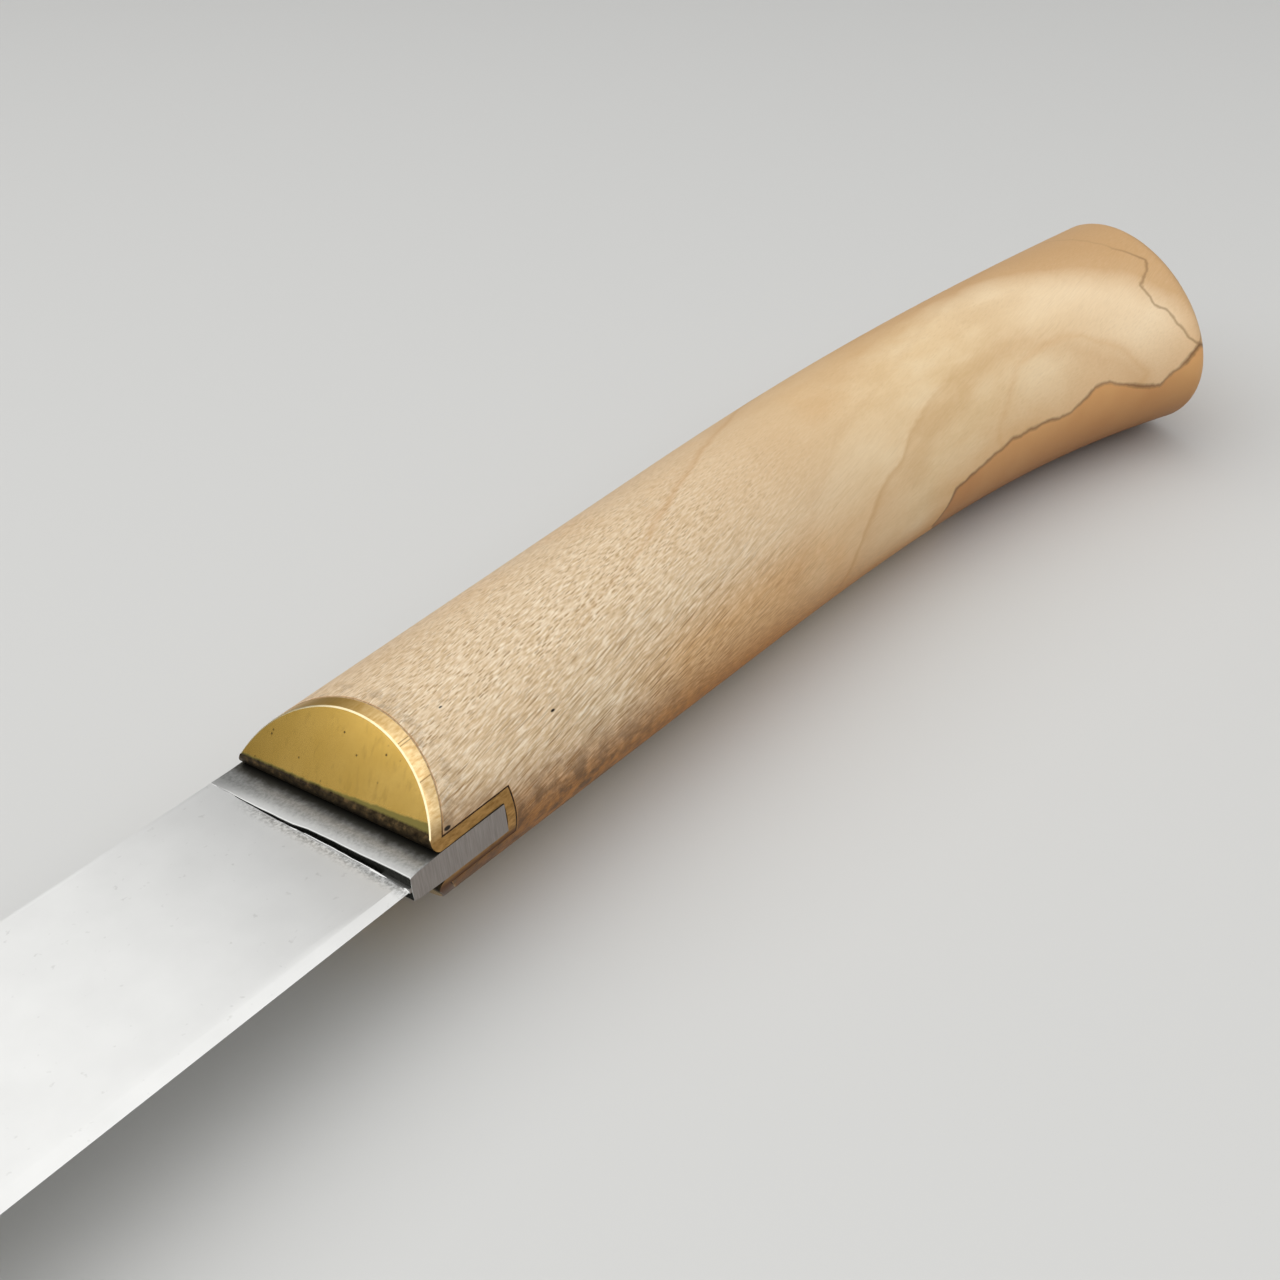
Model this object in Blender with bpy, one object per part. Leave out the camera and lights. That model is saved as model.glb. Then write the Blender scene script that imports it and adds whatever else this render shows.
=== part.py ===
"""A handmade fixed-blade knife, lying on its right side.

A flat-ground steel blade carries a short full-height stub and a stick tang behind it. Two folded
brass cheeks and a brass rear plate box the stub in, and a one-piece wooden handle of oval section
is slotted over them, with the stick tang bedded in its bore. Nothing on the knife moves.

+X runs to the butt, +Y to the spine, and +Z out of the blade's left flat. While it is modelled,
x = 0 is the line where the cheeks' folds leave the tang, and y = z = 0 is the tang's middle. The
parent empty then moves the whole knife so that the origin lies under the middle of its box.
"""

import math

import bmesh
import bpy
from mathutils import Matrix, Vector

# Blade, in metres
BLADE_LENGTH = 0.105  # from the plunge to the tip
BLADE_HEIGHT = 0.025
BLADE_THICKNESS = 0.00285
RICASSO_LENGTH = 0.00385  # full-thickness steel in front of the brass
PLUNGE_LENGTH = 0.0004  # filed slope from the ricasso down to the ground face
EDGE_BEVEL_HEIGHT = 0.0016
SHOULDER_THICKNESS = 0.0006  # steel left above the edge bevel
EDGE_FALL = 0.0008  # how far the straight edge has dropped where the belly starts
BELLY_LENGTH = 0.043  # from where the edge starts to rise to the tip
BELLY_POWER = 2.2
POINT_LENGTH = 0.040  # from where the spine starts to fall to the tip
POINT_DROP = 0.006
TIP_THICKNESS = 0.0009
TIP_HEIGHT = 0.0004

# Tang
STUB_LENGTH = 0.00785  # full-height steel boxed in by the brass
TANG_LENGTH = 0.065
TANG_HEIGHT = 0.010
TANG_END_HEIGHT = 0.007
TANG_THICKNESS = 0.0024

# Bolster, of brass sheet
SHEET_THICKNESS = 0.0011
FOLD_RADIUS = 0.00085  # outside of the fold at the front of each cheek
FLANGE_LEAN = math.radians(37.9)  # how far each half-moon flange leans back

# Handle
HANDLE_LENGTH = 0.1262  # from the fold line to the middle of the butt
FLUSH_STEP = 0.00012  # brass and wood stand this far above the stub's edges
FRONT_THICKNESS = 0.0173
WAIST_DEPTH = 0.00065
BUTT_HEIGHT = 0.0343
BUTT_THICKNESS = 0.0231
BEND_LENGTH = 0.0762  # the rear stretch that bends towards the edge side
BEND_POWER = 2.56
BUTT_DROP = 0.0087
BUTT_TURN = math.radians(30.7)
FLARE_LENGTH = 0.0525  # the rear stretch that flares
FLARE_POWER = 3.0
BUTT_ROUNDING = 0.0019

# Joints between pieces
JOINT_GAP = 0.0003  # glue or solder line
BEDDING_WALL = 0.0014  # epoxy round the stick tang
BEDDING_END = 0.0012  # epoxy behind its end

# Fineness of the round shapes
OVAL_POINTS = 48
HANDLE_RINGS = 30
ROUNDING_RINGS = 5
FOLD_POINTS = 8
BELLY_RINGS = 16
SHARP_CORNER = math.radians(35)

# How far a cutter reaches past what it cuts
CUTTER_REACH = 0.004

# Places that follow from the sizes above
BLANK_FRONT = -FOLD_RADIUS - CUTTER_REACH
CUTTER_FRONT = BLANK_FRONT - CUTTER_REACH
PLUNGE_X = -RICASSO_LENGTH
TANG_END_X = STUB_LENGTH + TANG_LENGTH
LINER_INSIDE = BLADE_THICKNESS / 2 + JOINT_GAP
LINER_OUTSIDE = LINER_INSIDE + SHEET_THICKNESS
PLATE_FRONT = STUB_LENGTH + JOINT_GAP
PLATE_BACK = PLATE_FRONT + SHEET_THICKNESS
SLOT_HALF_WIDTH = LINER_OUTSIDE + JOINT_GAP
SLOT_BACK = PLATE_BACK + JOINT_GAP
BEDDING_MARGIN = 2 * JOINT_GAP + BEDDING_WALL
BORE_HEIGHT = TANG_HEIGHT + 2 * BEDDING_MARGIN
BORE_THICKNESS = TANG_THICKNESS + 2 * BEDDING_MARGIN
BORE_END = TANG_END_X + 2 * JOINT_GAP + BEDDING_END
FRONT_HEIGHT = BLADE_HEIGHT + 2 * FLUSH_STEP
SECTION_REACH = BUTT_HEIGHT + BUTT_DROP + CUTTER_REACH


def linear(colour):
    """An sRGB hex colour as linear red, green, blue and alpha."""
    shares = [int(colour[i : i + 2], 16) / 255 for i in (1, 3, 5)]
    return [s / 12.92 if s < 0.04045 else ((s + 0.055) / 1.055) ** 2.4 for s in shares] + [1]


def finish(name, colour, roughness, metallic):
    """A plain material."""
    material = bpy.data.materials.new(name)
    material.use_nodes = True
    shader = material.node_tree.nodes["Principled BSDF"]
    shader.inputs["Base Color"].default_value = linear(colour)
    shader.inputs["Roughness"].default_value = roughness
    shader.inputs["Metallic"].default_value = metallic
    return material


def loft(rings):
    """A closed skin through rings of equally many points, drawn on from the first ring's face."""
    skin = bmesh.new()
    first = [skin.verts.new(point) for point in rings[0]]
    cap = skin.faces.new(first)
    for ring in rings[1:]:
        cap = bmesh.ops.extrude_discrete_faces(skin, faces=[cap])["faces"][0]
        for vert, point in zip(cap.verts, ring):
            vert.co = point
    skin.faces.new(reversed(first))
    bmesh.ops.recalc_face_normals(skin, faces=skin.faces)
    return skin


def prism(outline):
    """An outline of x and z points, drawn out along Y through the whole knife."""
    return loft([[Vector((x, y, z)) for x, z in outline] for y in (-SECTION_REACH, SECTION_REACH)])


def block(low, high):
    """A box from its lowest corner to its highest."""
    low, high = Vector(low), Vector(high)
    solid = bmesh.new()
    place = Matrix.Translation((low + high) / 2) @ Matrix.Diagonal((high - low).to_4d())
    bmesh.ops.create_cube(solid, size=1, matrix=place)
    return solid


def add_object(name, shape, collection, material=None):
    """A mesh object on the knife's empty, shaded smooth but for its sharp corners."""
    mesh = bpy.data.meshes.new(name)
    shape.to_mesh(mesh)
    shape.free()
    mesh.shade_smooth()
    mesh.set_sharp_from_angle(angle=SHARP_CORNER)
    if material:
        mesh.materials.append(material)
    added = bpy.data.objects.new(name, mesh)
    added.parent = knife
    collection.objects.link(added)
    return added


def add_cutter(name, shape):
    """A guide shape that isn't part of the knife."""
    cutter = add_object(name, shape, cutters)
    cutter.hide_render = True
    cutter.display_type = "WIRE"
    return cutter


def combine(piece, operation, cutter):
    """A live Boolean on a piece."""
    boolean = piece.modifiers.new(f"{operation.lower()} {cutter.name}", "BOOLEAN")
    boolean.operation = operation
    boolean.solver = "EXACT"
    boolean.object = cutter


def flat_bar(x, height, thickness):
    """A rectangular section of the blade's bar at x, with a point in the middle of its lower side."""
    y, z = height / 2, thickness / 2
    return [Vector((x, *p)) for p in ((y, z), (y, -z), (-y, -z), (-y, 0), (-y, z))]


def spine_height(along):
    """The spine's height at a distance in front of the plunge: straight, then falling to the tip."""
    share = max(0, along - (BLADE_LENGTH - POINT_LENGTH)) / POINT_LENGTH
    return BLADE_HEIGHT / 2 - POINT_DROP * share**2


def edge_height(along):
    """The edge's height there: nearly straight, then a belly that rises to the tip."""
    straight = BLADE_LENGTH - BELLY_LENGTH
    low = -BLADE_HEIGHT / 2 - EDGE_FALL * min(1, along / straight)
    share = max(0, along - straight) / BELLY_LENGTH
    tip = spine_height(BLADE_LENGTH) - TIP_HEIGHT
    return low + (tip - low) * share**BELLY_POWER


def ground_section(along):
    """The flat-ground section there: spine, ground faces down to the shoulders, and the edge."""
    spine, edge = spine_height(along), edge_height(along)
    taper = max(0, along - (BLADE_LENGTH - BELLY_LENGTH)) / BELLY_LENGTH
    back = (BLADE_THICKNESS + (TIP_THICKNESS - BLADE_THICKNESS) * taper) / 2
    bevel = min(EDGE_BEVEL_HEIGHT, (spine - edge) / 2)
    slope = (BLADE_THICKNESS - SHOULDER_THICKNESS) / 2 / (BLADE_HEIGHT - EDGE_BEVEL_HEIGHT)
    on_plane = BLADE_THICKNESS / 2 - slope * (BLADE_HEIGHT / 2 - edge - bevel)
    shoulder = min(on_plane, SHOULDER_THICKNESS / 2)
    points = ((spine, back), (spine, -back), (edge + bevel, -shoulder), (edge, 0), (edge + bevel, shoulder))
    return [Vector((PLUNGE_X - along, *p)) for p in points]


def blade_shape():
    """Stick tang, stub, ricasso and ground blade, as one bar drawn on from the tang's end."""
    rings = [
        flat_bar(TANG_END_X, TANG_END_HEIGHT, TANG_THICKNESS),
        flat_bar(STUB_LENGTH, TANG_HEIGHT, TANG_THICKNESS),
        flat_bar(STUB_LENGTH, BLADE_HEIGHT, BLADE_THICKNESS),
        flat_bar(PLUNGE_X, BLADE_HEIGHT, BLADE_THICKNESS),
        ground_section(PLUNGE_LENGTH),
    ]
    curved = max(BELLY_LENGTH, POINT_LENGTH)
    for i in range(BELLY_RINGS + 1):
        rings.append(ground_section(BLADE_LENGTH - curved * math.cos(math.pi / 2 * i / BELLY_RINGS)))
    return loft(rings)


def cheek_outline(side):
    """One cheek's section: liner along the stub, round fold, and flange leaning back. Side is 1 or -1."""
    centre = Vector((0, LINER_INSIDE + FOLD_RADIUS))
    outward = Vector((-math.cos(FLANGE_LEAN), math.sin(FLANGE_LEAN)))
    along = Vector((math.sin(FLANGE_LEAN), math.cos(FLANGE_LEAN)))
    reach = along * (FRONT_THICKNESS / math.cos(FLANGE_LEAN))
    points = [Vector((STUB_LENGTH, LINER_INSIDE))]
    for i in range(FOLD_POINTS + 1):
        turned = -math.pi / 2 - (math.pi / 2 + FLANGE_LEAN) * i / FOLD_POINTS
        points.append(centre + FOLD_RADIUS * Vector((math.cos(turned), math.sin(turned))))
    inner = centre + (FOLD_RADIUS - SHEET_THICKNESS) * outward
    points.append(points[-1] + reach)
    points.append(inner + reach)
    points.append(inner + along * ((LINER_OUTSIDE - inner.y) / along.y))
    points.append(Vector((STUB_LENGTH, LINER_OUTSIDE)))
    return [(p.x, side * p.y) for p in points]


def nose_outline():
    """Everything in front of the handle's two sloping front faces, which back the flanges."""
    behind = SHEET_THICKNESS + JOINT_GAP - FOLD_RADIUS
    centre = LINER_INSIDE + FOLD_RADIUS

    def face(z):
        return behind / math.cos(FLANGE_LEAN) + (z - centre) * math.tan(FLANGE_LEAN)

    side = FRONT_THICKNESS
    front = CUTTER_FRONT
    return [(front, -side), (front, side), (face(side), side), (face(0), 0), (face(side), -side)]


def handle_ring(x, inset=0.0, beyond=0.0):
    """The handle's oval at x, pulled in by inset and moved beyond along its own turned axis."""
    share = min(1, max(0, x / HANDLE_LENGTH))
    bend = max(0, x - (HANDLE_LENGTH - BEND_LENGTH)) / BEND_LENGTH
    flare = max(0, x - (HANDLE_LENGTH - FLARE_LENGTH)) / FLARE_LENGTH
    turn = -BUTT_TURN * bend ** (BEND_POWER - 1)
    axis = Vector((math.cos(turn), math.sin(turn), 0))
    up = Vector((-math.sin(turn), math.cos(turn), 0))
    waist = WAIST_DEPTH * math.sin(math.pi * share)
    half_height = FRONT_HEIGHT / 2 - waist + (BUTT_HEIGHT - FRONT_HEIGHT) / 2 * flare**FLARE_POWER
    half_thickness = (BUTT_THICKNESS + (FRONT_THICKNESS - BUTT_THICKNESS) * (1 - share) ** 2) / 2
    centre = Vector((x, -BUTT_DROP * bend**BEND_POWER, 0)) + axis * beyond
    ring = []
    for i in range(OVAL_POINTS):
        angle = 2 * math.pi * i / OVAL_POINTS
        across = Vector((0, 0, (half_thickness - inset) * math.sin(angle)))
        ring.append(centre + up * ((half_height - inset) * math.cos(angle)) + across)
    return ring


def handle_blank():
    """The handle's outside, run on past the bolster at the front, with a rounded rim at the butt."""
    rings = [handle_ring(BLANK_FRONT)]
    for i in range(HANDLE_RINGS + 1):
        rings.append(handle_ring(HANDLE_LENGTH * i / HANDLE_RINGS))
    for i in range(1, ROUNDING_RINGS + 1):
        round_off = math.pi / 2 * i / ROUNDING_RINGS
        inset = BUTT_ROUNDING * (1 - math.cos(round_off))
        rings.append(handle_ring(HANDLE_LENGTH, inset, BUTT_ROUNDING * math.sin(round_off)))
    return loft(rings)


def tang_room(front, clearance):
    """The stick tang's own taper with a clearance all round, run on to a place in front of its root."""
    grow = (TANG_HEIGHT - TANG_END_HEIGHT) / TANG_LENGTH
    height = TANG_HEIGHT + grow * (STUB_LENGTH - front) + 2 * clearance
    thickness = TANG_THICKNESS + 2 * clearance
    return loft(
        [
            flat_bar(TANG_END_X + clearance, TANG_END_HEIGHT + 2 * clearance, thickness),
            flat_bar(front, height, thickness),
        ]
    )


for leftover in list(bpy.data.objects):
    bpy.data.objects.remove(leftover)

knife = bpy.data.objects.new("knife", None)
parts = bpy.data.collections.new("fixed_blade_knife")
cutters = bpy.data.collections.new("cutters")
for collection in (parts, cutters):
    bpy.context.scene.collection.children.link(collection)
parts.objects.link(knife)

steel = finish("satin ground steel", "#b9bbbd", 0.32, 1.0)
brass = finish("filed brass", "#b99a45", 0.30, 1.0)
wood = finish("spalted pale wood", "#c9a77c", 0.50, 0.0)
epoxy = finish("cured epoxy", "#6b5636", 0.40, 0.0)

blank = add_cutter("handle outside", handle_blank())
nose = add_cutter("handle nose", prism(nose_outline()))
slot = add_cutter(
    "bolster slot",
    block(
        (CUTTER_FRONT, -SECTION_REACH, -SLOT_HALF_WIDTH),
        (SLOT_BACK, SECTION_REACH, SLOT_HALF_WIDTH),
    ),
)
bore = add_cutter(
    "tang bore",
    block(
        (SLOT_BACK - CUTTER_REACH, -BORE_HEIGHT / 2, -BORE_THICKNESS / 2),
        (BORE_END, BORE_HEIGHT / 2, BORE_THICKNESS / 2),
    ),
)
plate_hole = add_cutter(
    "rear plate hole",
    block(
        (PLATE_FRONT - CUTTER_REACH, -TANG_HEIGHT / 2 - JOINT_GAP, -TANG_THICKNESS / 2 - JOINT_GAP),
        (PLATE_BACK + CUTTER_REACH, TANG_HEIGHT / 2 + JOINT_GAP, TANG_THICKNESS / 2 + JOINT_GAP),
    ),
)
tang_pocket = add_cutter("tang pocket", tang_room(PLATE_FRONT, JOINT_GAP))

add_object("blade", blade_shape(), parts, steel)

for side, name in ((1, "left_bolster_cheek"), (-1, "right_bolster_cheek")):
    cheek = add_object(name, prism(cheek_outline(side)), parts, brass)
    combine(cheek, "INTERSECT", blank)

rear_plate = add_object(
    "rear_tang_plate",
    block((PLATE_FRONT, -SECTION_REACH, -LINER_OUTSIDE), (PLATE_BACK, SECTION_REACH, LINER_OUTSIDE)),
    parts,
    brass,
)
combine(rear_plate, "INTERSECT", blank)
combine(rear_plate, "DIFFERENCE", plate_hole)

handle = add_object("handle", handle_blank(), parts, wood)
for cutter in (nose, slot, bore):
    combine(handle, "DIFFERENCE", cutter)

bedding = add_object(
    "tang_bedding",
    block(
        (SLOT_BACK, -BORE_HEIGHT / 2 + JOINT_GAP, -BORE_THICKNESS / 2 + JOINT_GAP),
        (BORE_END - JOINT_GAP, BORE_HEIGHT / 2 - JOINT_GAP, BORE_THICKNESS / 2 - JOINT_GAP),
    ),
    parts,
    epoxy,
)
combine(bedding, "DIFFERENCE", tang_pocket)

bpy.context.view_layer.update()
graph = bpy.context.evaluated_depsgraph_get()
shown = [part.evaluated_get(graph) for part in parts.objects if part.type == "MESH"]
corners = [Vector(corner) for part in shown for corner in part.bound_box]
low = [min(corner[axis] for corner in corners) for axis in range(3)]
high = [max(corner[axis] for corner in corners) for axis in range(3)]
knife.location = (-(low[0] + high[0]) / 2, -(low[1] + high[1]) / 2, -low[2])
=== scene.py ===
import math
from functools import partial

import bmesh
import bpy
from mathutils import Matrix, Vector


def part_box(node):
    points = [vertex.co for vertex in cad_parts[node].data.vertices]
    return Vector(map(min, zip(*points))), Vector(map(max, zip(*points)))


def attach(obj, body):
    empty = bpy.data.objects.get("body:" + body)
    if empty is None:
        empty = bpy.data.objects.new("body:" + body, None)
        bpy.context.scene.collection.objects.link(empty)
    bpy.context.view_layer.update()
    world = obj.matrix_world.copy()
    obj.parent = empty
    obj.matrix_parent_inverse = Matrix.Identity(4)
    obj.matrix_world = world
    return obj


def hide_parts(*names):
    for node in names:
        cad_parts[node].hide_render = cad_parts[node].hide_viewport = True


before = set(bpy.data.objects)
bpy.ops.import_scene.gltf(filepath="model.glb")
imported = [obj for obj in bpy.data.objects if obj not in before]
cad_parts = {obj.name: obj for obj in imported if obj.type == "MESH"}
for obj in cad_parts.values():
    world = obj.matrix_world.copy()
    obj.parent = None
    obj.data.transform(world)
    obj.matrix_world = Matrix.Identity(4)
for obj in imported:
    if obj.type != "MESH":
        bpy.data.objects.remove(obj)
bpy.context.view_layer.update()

# Blade. One bar of carbon steel, ground flat from a thick spine to a thin edge and then honed. A short
# ricasso of full thickness is filed square in front of the handle. Behind it a full-height stub and a
# stick tang run on into the handle, so blade and tang are one piece.

# Sizes are in millimetres: +X to the butt, +Y to the spine, +Z out of the left flat, from the middle of
# the line where the brass leaves the steel.
BLADE_LENGTH = 105.0
BLADE_HEIGHT = 25.0
BLADE_THICKNESS = 2.85
RICASSO_LENGTH = 3.85
EDGE_BEVEL_HEIGHT = 1.6
HEEL_BEVEL_HEIGHT = 1.1
HEEL_BEVEL_LENGTH = 30.0
SHOULDER_THICKNESS = 0.6
HEEL_ROUNDING = 0.9  # the hone can't reach into the corner behind the heel
EDGE_FALL = 0.8
BELLY_LENGTH = 43.0
BELLY_POWER = 2.2
POINT_LENGTH = 40.0
POINT_DROP = 6.0
TIP_THICKNESS = 0.5
TIP_HEIGHT = 0.2
STUB_LENGTH = 7.85
TANG_LENGTH = 65.0
TANG_HEIGHT = 10.0
TANG_END_HEIGHT = 7.0
TANG_THICKNESS = 2.4
CORNER_EASE = 0.09  # long corners broken with a file
STUB_CORNER = 0.01  # left square between the brass liners
CROWN_LENGTH = 1.9  # the ricasso rolls off a little towards its front
CROWN_TILT = math.radians(10)
CROWN_RINGS = 6
FRONT_ROUNDING = 0.14  # its front corner, rubbed round
FRONT_TILT = math.radians(75)
FRONT_RINGS = 14
GOUGE_DEPTH = 0.18
LIP_HEIGHT = 0.14  # a burr left standing where the second file cut began
FACE_STEPS = 30
BELLY_RINGS = 28
FLAT_RINGS = (0.14, 0.25, 0.4, 0.6, 0.9, 2.0, 8.0, 16.0, HEEL_BEVEL_LENGTH, 40.0)  # in front of the plunge
STUB_FRONT = 0.2  # the corners turn square here
FOOT_WIDTH = 0.06  # of the corner below the step
SOFT_CORNER = math.radians(28)  # a piece is shaded smooth over corners up to this
BLADE_SOFT_CORNER = math.radians(6)
PLUNGE_X = -RICASSO_LENGTH
TANG_END_X = STUB_LENGTH + TANG_LENGTH
MILLIMETRE = 0.001

blade_low, blade_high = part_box("blade")
fold_line = Vector((
    blade_low.x + (BLADE_LENGTH + RICASSO_LENGTH) * MILLIMETRE,
    blade_high.y - BLADE_HEIGHT / 2 * MILLIMETRE,
    (blade_low.z + blade_high.z) / 2,
))
into_frame = Matrix.Translation(fold_line) @ Matrix.Scale(MILLIMETRE, 4)


def clamp(share):
    """A share held between nothing and all."""
    return min(1.0, max(0.0, share))


def ease(share):
    """A share that starts and ends gently."""
    held = clamp(share)
    return held * held * (3 - 2 * held)


def loft(rings):
    """A closed skin through rings of equally many points, drawn on from the first ring's face."""
    skin = bmesh.new()
    first = [skin.verts.new(point) for point in rings[0]]
    cap = skin.faces.new(first)
    for ring in rings[1:]:
        cap = bmesh.ops.extrude_discrete_faces(skin, faces=[cap])["faces"][0]
        for vert, point in zip(cap.verts, ring):
            vert.co = point
    skin.faces.new(reversed(first))
    bmesh.ops.recalc_face_normals(skin, faces=skin.faces)
    return skin


def settle(shape, name, materials, soft_corner=SOFT_CORNER):
    """A shape in millimetres as a piece in the frame, shaded smooth but for its sharper corners."""
    bmesh.ops.transform(shape, matrix=into_frame, verts=shape.verts)
    mesh = bpy.data.meshes.new(name)
    shape.to_mesh(mesh)
    shape.free()
    mesh.shade_smooth()
    mesh.set_sharp_from_angle(angle=soft_corner)
    for material in materials:
        mesh.materials.append(material)
    piece = bpy.data.objects.new(name, mesh)
    bpy.context.scene.collection.objects.link(piece)
    return piece


def blade_ring(x, top, back, shoulder, below, edge, wander=None, raised=None, corner=CORNER_EASE):
    """A section of the bar: down one face from the spine, round the edge, and up the other face.

    Wander moves it along the bar, and raised lifts its faces, each by the share of the way to the edge.
    """
    side = [(0, top, back - corner), (0, top - corner, back)]
    for i in range(1, FACE_STEPS):
        share = i / FACE_STEPS
        y = top - corner + (shoulder[0] - top + corner) * share
        side.append((share, y, back + (shoulder[1] - back) * share))
    side += [(1, *shoulder), (1, *below)]
    if raised:
        side = [(share, y, z + raised(share)) for share, y, z in side]
    points = side + [(1, edge, 0)] + [(share, y, -z) for share, y, z in reversed(side)]
    return [Vector((x + (wander(share) if wander else 0), y, z)) for share, y, z in points]


def bar_ring(x, height, thickness, wander=None, sunk=0.0, corner=CORNER_EASE):
    """A rectangular section of the bar, its corners broken. Sunk pulls in its faces below the spine."""
    y, z = height / 2, thickness / 2
    lower = (-y + corner, z), (-y, z - corner)
    return blade_ring(x, y, z, *lower, -y, wander, lambda share: -sunk * ease(share / 0.35), corner)


def spine_height(along):
    """The spine's height at a distance in front of the plunge: straight, then falling to the tip."""
    fallen = max(0, along - BLADE_LENGTH + POINT_LENGTH) / POINT_LENGTH
    return BLADE_HEIGHT / 2 - POINT_DROP * fallen**2


def edge_height(along):
    """The edge's height there: nearly straight, then a belly that rises to the tip."""
    straight = BLADE_LENGTH - BELLY_LENGTH
    low = -BLADE_HEIGHT / 2 - EDGE_FALL * min(1, along / straight)
    tip = spine_height(BLADE_LENGTH) - TIP_HEIGHT
    return low + (tip - low) * (max(0, along - straight) / BELLY_LENGTH) ** BELLY_POWER


def ground_ring(along, wander=None, raised=None):
    """The flat-ground section there, with the honed bevel below its shoulders."""
    spine, edge = spine_height(along), edge_height(along)
    taper = max(0, along - BLADE_LENGTH + BELLY_LENGTH) / BELLY_LENGTH
    back = (BLADE_THICKNESS + (TIP_THICKNESS - BLADE_THICKNESS) * taper) / 2
    heel = max(0.05, math.sqrt(1 - (1 - clamp(along / HEEL_ROUNDING)) ** 2))
    honed = HEEL_BEVEL_HEIGHT + (EDGE_BEVEL_HEIGHT - HEEL_BEVEL_HEIGHT) * clamp(along / HEEL_BEVEL_LENGTH)
    bevel = min(honed * heel, (spine - edge) / 2)
    slope = (BLADE_THICKNESS - SHOULDER_THICKNESS) / 2 / (BLADE_HEIGHT - EDGE_BEVEL_HEIGHT)
    on_plane = BLADE_THICKNESS / 2 - slope * (BLADE_HEIGHT / 2 - edge - bevel)
    shoulder = min(on_plane, SHOULDER_THICKNESS / 2)
    below = (edge + bevel * 0.93, shoulder * 0.95)  # the shoulder's own corner is rubbed soft
    return blade_ring(PLUNGE_X - along, spine, back, (edge + bevel, shoulder), below, edge, wander, raised)


def second_cut(share):
    """Where the file cut the step a second time, further back: the half towards the edge."""
    return ease((share - 0.42) / 0.08)


def front_line(share):
    """How the filed front of the ricasso wanders from a straight line, from spine to edge."""
    return 0.26 * second_cut(share) + 0.02 * math.sin(23 * share) + 0.012 * math.sin(61 * share + 1.3)


def foot_line(share):
    """How the foot of the same step wanders."""
    return 0.02 * math.sin(31 * share + 0.6) + 0.015 * math.sin(83 * share) - 0.02


def lip(share):
    """How high the burr of the first cut stands: only beside the second cut, and worn off at the edge."""
    return LIP_HEIGHT * second_cut(share) * (1 - ease((share - 0.78) / 0.14))


def gouge(share):
    """How deep the corner of the file bit in along the first cut."""
    return GOUGE_DEPTH * ease((share - 0.18) / 0.14) * (1 - ease((share - 0.44) / 0.08))


rings = [
    bar_ring(TANG_END_X, TANG_END_HEIGHT, TANG_THICKNESS),
    bar_ring(STUB_LENGTH, TANG_HEIGHT, TANG_THICKNESS),
    bar_ring(STUB_LENGTH, BLADE_HEIGHT, BLADE_THICKNESS, corner=STUB_CORNER),
    bar_ring(STUB_FRONT, BLADE_HEIGHT, BLADE_THICKNESS, corner=STUB_CORNER),
]
front_x = PLUNGE_X + FRONT_ROUNDING
for i in range(CROWN_RINGS):
    rolled = CROWN_LENGTH * i / CROWN_RINGS
    sunk = math.tan(CROWN_TILT) * rolled**2 / CROWN_LENGTH / 2
    x = front_x + CROWN_LENGTH - rolled
    follow = (rolled / CROWN_LENGTH) ** 2
    rings.append(
        bar_ring(x, BLADE_HEIGHT, BLADE_THICKNESS, lambda share: follow * front_line(share), sunk)
    )
crown = math.tan(CROWN_TILT) * CROWN_LENGTH / 2
for i in range(FRONT_RINGS + 1):
    turned = CROWN_TILT + (FRONT_TILT - CROWN_TILT) * i / FRONT_RINGS
    x = front_x - FRONT_ROUNDING * (math.sin(turned) - math.sin(CROWN_TILT))
    sunk = crown + FRONT_ROUNDING * (math.cos(CROWN_TILT) - math.cos(turned))
    rings.append(bar_ring(x, BLADE_HEIGHT, BLADE_THICKNESS, front_line, sunk))
rings.append(
    ground_ring(-FOOT_WIDTH, lambda share: front_line(share) - FOOT_WIDTH, lambda share: -gouge(share))
)
rings.append(ground_ring(0.0, foot_line, lambda share: lip(share) - gouge(share)))
rings.append(ground_ring(FOOT_WIDTH, foot_line, lambda share: 0.75 * lip(share)))
for along in FLAT_RINGS:
    rings.append(ground_ring(along))
curved = max(BELLY_LENGTH, POINT_LENGTH)
for i in range(BELLY_RINGS + 1):
    rings.append(ground_ring(BLADE_LENGTH - curved * math.cos(math.pi / 2 * i / BELLY_RINGS)))
blade_shape = loft(rings)

# The bar is ground ahead of the step's foot. Behind it come the step's steep face, the corner above it,
# rubbed as bright as the ground, and the filed flats, with the narrow sides along all of them.
GROUND, FILED, STRIP, STEP = range(4)
for face in blade_shape.faces:
    behind_foot = face.calc_center_median().x - PLUNGE_X
    narrow_side = abs(face.normal.y) > 0.9
    steep = face.normal.x < -0.93 or face.normal.x > 0.1
    rubbed_corner = face.normal.x < -0.32
    if behind_foot < -0.01:
        face.material_index = GROUND
    elif narrow_side:
        face.material_index = STRIP
    elif steep and behind_foot < 0.5:
        face.material_index = STEP
    else:
        face.material_index = GROUND if rubbed_corner else FILED


def linear(colour):
    """An sRGB hex colour as linear red, green, blue and alpha."""
    shares = [int(colour[i : i + 2], 16) / 255 for i in (1, 3, 5)]
    return [s / 12.92 if s < 0.04045 else ((s + 0.055) / 1.055) ** 2.4 for s in shares] + [1]


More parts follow.
